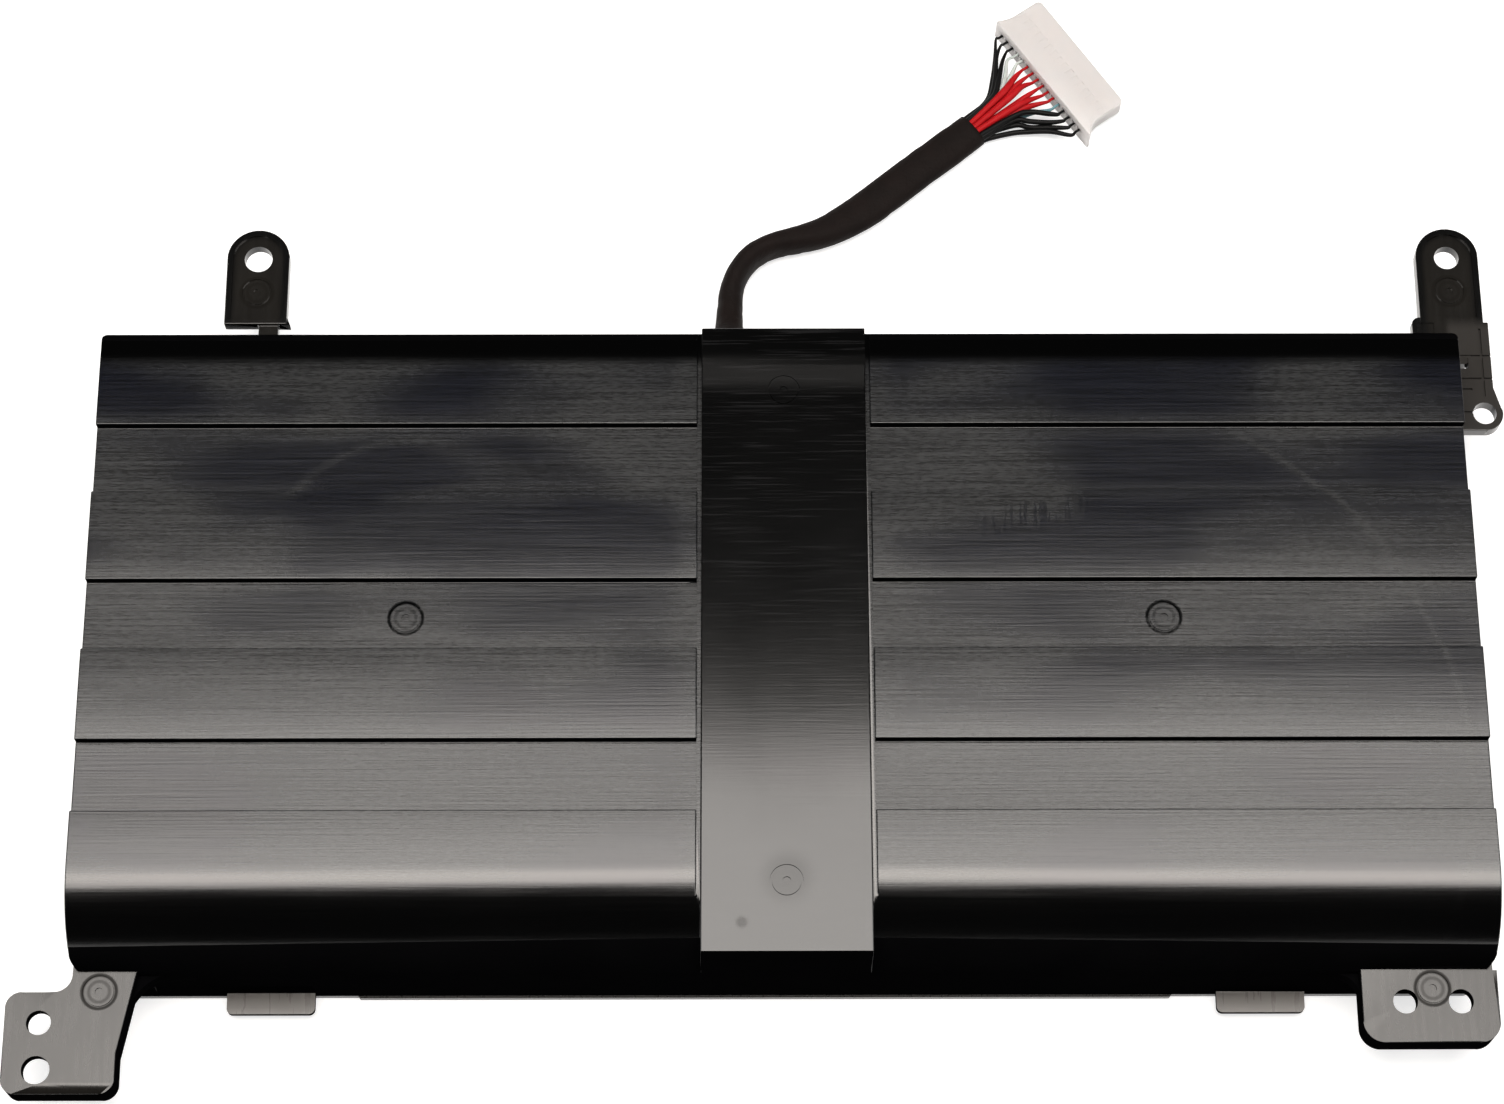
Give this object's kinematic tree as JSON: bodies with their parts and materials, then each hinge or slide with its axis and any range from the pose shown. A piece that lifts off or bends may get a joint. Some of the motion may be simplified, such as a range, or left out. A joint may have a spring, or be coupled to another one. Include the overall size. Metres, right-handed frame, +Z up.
{
  "type": "laptop battery pack",
  "caption": "Flat internal laptop battery with a ribbed black case, a smooth centre strip, screw ears and tabs, and a short sleeved cable with a wide white plug.",
  "frame": {"origin": "middle of the flat base, on the face that the pack lies on", "axes": "+X along the pack, +Y towards the long wall that the cable leaves, +Z up through the ribbed face"},
  "size_m": [0.1748, 0.1438, 0.0208],
  "materials": {
    "case_plastic": "satin black moulded plastic, finely brushed on the ribbed face",
    "cell_wrap": "heat-shrink film",
    "fibre": "vulcanised fibre",
    "nickel": "rolled nickel strip",
    "film": "amber polyimide film",
    "board_laminate": "solder mask",
    "tin": "tinned",
    "chip_resin": "moulded resin",
    "ceramic": "fired ceramic",
    "wire_black": "extruded insulation",
    "wire_white": "extruded insulation",
    "wire_red": "extruded insulation",
    "wire_blue": "extruded insulation",
    "sleeve_black": "soft sleeve",
    "plug_nylon": "natural nylon"
  },
  "bodies": {
    "root": {"cover": "case_plastic", "base": "case_plastic", "cell_1": "cell_wrap", "cell_2": "cell_wrap", "cell_3": "cell_wrap", "cell_4": "cell_wrap", "cell_5": "cell_wrap", "cell_6": "cell_wrap", "cell_7": "cell_wrap", "cell_8": "cell_wrap", "washers": "fibre", "link_left": "nickel", "link_right": "nickel", "link_minus": "nickel", "link_plus": "nickel", "link_mid": "nickel", "ribbon_left": "film", "ribbon_right": "film", "board": "board_laminate", "solder_pads": "tin", "mosfets": "chip_resin", "gauge_chip": "chip_resin", "fuse_chip": "ceramic", "shunt": "chip_resin", "capacitors": "ceramic", "resistors": "chip_resin", "thermistor": "chip_resin", "leads_black": "wire_black", "leads_white": "wire_white", "leads_red": "wire_red", "leads_blue": "wire_blue", "sleeve": "sleeve_black", "wires_black": "wire_black", "wires_white": "wire_white", "wires_red": "wire_red", "wires_blue": "wire_blue", "plug": "plug_nylon", "contacts": "tin"}
  },
  "joints": []
}
